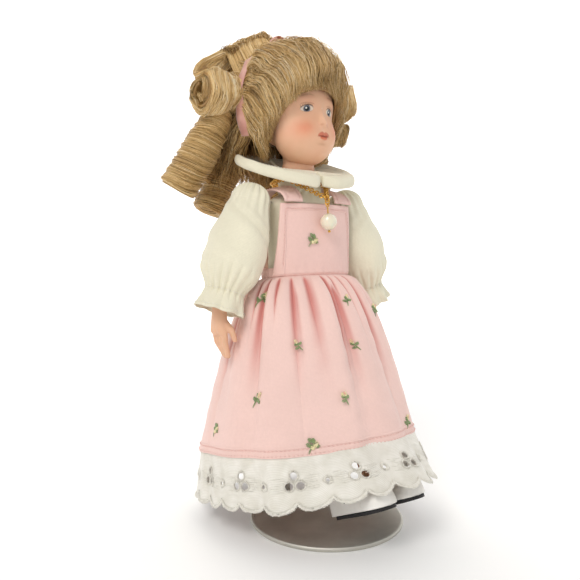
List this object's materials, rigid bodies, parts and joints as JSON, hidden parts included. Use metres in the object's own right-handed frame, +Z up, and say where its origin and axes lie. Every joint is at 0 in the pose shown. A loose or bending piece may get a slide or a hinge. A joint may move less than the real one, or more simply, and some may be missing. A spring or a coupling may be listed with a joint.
{
  "type": "porcelain doll on stand",
  "caption": "Dressed porcelain doll with swivel neck, jointed arms and legs, held by a waist clip on a round stand.",
  "frame": {"origin": "centre of the stand base's underside, on the surface it rests on", "axes": "+Z up; the doll faces -Y, so its own left side is at +X"},
  "size_m": [0.1048, 0.1216, 0.2155],
  "materials": {
    "steel": "nickel-plated steel, soft satin reflection",
    "vinyl": "soft white vinyl tube",
    "body_cloth": "unbleached muslin",
    "bisque": "matte unglazed bisque porcelain, tinted skin with painted details",
    "bloomers": "thin white cotton",
    "pate_card": "pressed card",
    "wig_base": "stretch netting",
    "hair": "golden blond synthetic hair, set in curls",
    "ribbon": "dusty pink satin ribbon",
    "cream_cotton": "cream cotton broadcloth",
    "elastic": "narrow covered elastic",
    "pink_cotton": "pale pink cotton with embroidered sprigs",
    "lace": "white cotton eyelet embroidery",
    "shoe_white": "smooth white coated leather",
    "shoe_sole": "thin black sole",
    "gold": "gold-tone plated chain",
    "pearl": "lustrous cream imitation pearl"
  },
  "bodies": {
    "stand": {"stand_base": "steel", "post_tube": "steel", "post_rivet": "steel"},
    "rod": {"post_rod": "steel"},
    "doll": {"waist_clip": "steel", "clip_ferrule": "steel", "clip_sleeves": "vinyl", "torso": "body_cloth", "shoulder_plate": "bisque", "arm_wire": "steel", "hip_wire": "steel", "bloomers_seat": "bloomers", "blouse_body": "cream_cotton", "collar_right": "cream_cotton", "collar_left": "cream_cotton", "bib": "pink_cotton", "strap_right": "pink_cotton", "strap_left": "pink_cotton", "waistband": "pink_cotton", "skirt": "pink_cotton", "lace_trim": "lace", "back_snap": "steel", "necklace_chain": "gold"},
    "head": {"neck_bolt": "steel", "neck_spring": "steel", "neck_nut": "steel", "head": "bisque", "crown_pate": "pate_card", "wig_cap": "wig_base", "wig_bangs": "hair", "wig_crown": "hair", "hair_puff": "hair", "curls_right": "hair", "curls_left": "hair", "curls_back": "hair", "headband": "ribbon", "ribbon_bow": "ribbon"},
    "right_arm": {"upper_arm_right": "body_cloth", "forearm_right": "bisque", "arm_tie_right": "body_cloth", "sleeve_right": "cream_cotton", "cuff_elastic_right": "elastic"},
    "left_arm": {"upper_arm_left": "body_cloth", "forearm_left": "bisque", "arm_tie_left": "body_cloth", "sleeve_left": "cream_cotton", "cuff_elastic_left": "elastic"},
    "right_leg": {"thigh_right": "body_cloth", "shin_right": "bisque", "bloomer_leg_right": "bloomers", "shoe_right": "shoe_white", "sole_right": "shoe_sole"},
    "left_leg": {"thigh_left": "body_cloth", "shin_left": "bisque", "bloomer_leg_left": "bloomers", "shoe_left": "shoe_white", "sole_left": "shoe_sole"},
    "pendant": {"jump_ring": "gold", "pearl_pin": "gold", "pearl": "pearl"}
  },
  "joints": [
    {"name": "height_slide", "type": "slide", "parent": "stand", "child": "rod", "axis": [0, 0, 1], "range_m": [-0.0025, 0.018]},
    {"name": "clip_swivel", "type": "hinge", "parent": "rod", "child": "doll", "pos_m": [0, 0.028, 0.09], "axis": [0, 0, 1], "range_deg": [-30, 30]},
    {"name": "neck_turn", "type": "hinge", "parent": "doll", "child": "head", "pos_m": [0, 0.01881, 0.14975], "axis": [0, 0.1045, 0.9945], "range_deg": [-25, 25]},
    {"name": "right_shoulder", "type": "hinge", "parent": "doll", "child": "right_arm", "pos_m": [-0.0275, 0.01714, 0.13384], "axis": [1, 0, 0], "range_deg": [-110, 20]},
    {"name": "left_shoulder", "type": "hinge", "parent": "doll", "child": "left_arm", "pos_m": [0.0275, 0.01714, 0.13384], "axis": [1, 0, 0], "range_deg": [-110, 20]},
    {"name": "right_hip", "type": "hinge", "parent": "doll", "child": "right_leg", "pos_m": [-0.008, 0.01254, 0.09008], "axis": [1, 0, 0], "range_deg": [-1, 6]},
    {"name": "left_hip", "type": "hinge", "parent": "doll", "child": "left_leg", "pos_m": [0.008, 0.01254, 0.09008], "axis": [1, 0, 0], "range_deg": [-1, 6]},
    {"name": "pendant_swing", "type": "hinge", "parent": "doll", "child": "pendant", "pos_m": [0, -0.00027, 0.13567], "axis": [0, -0.9945, 0.1045], "range_deg": [-25, 25]}
  ]
}
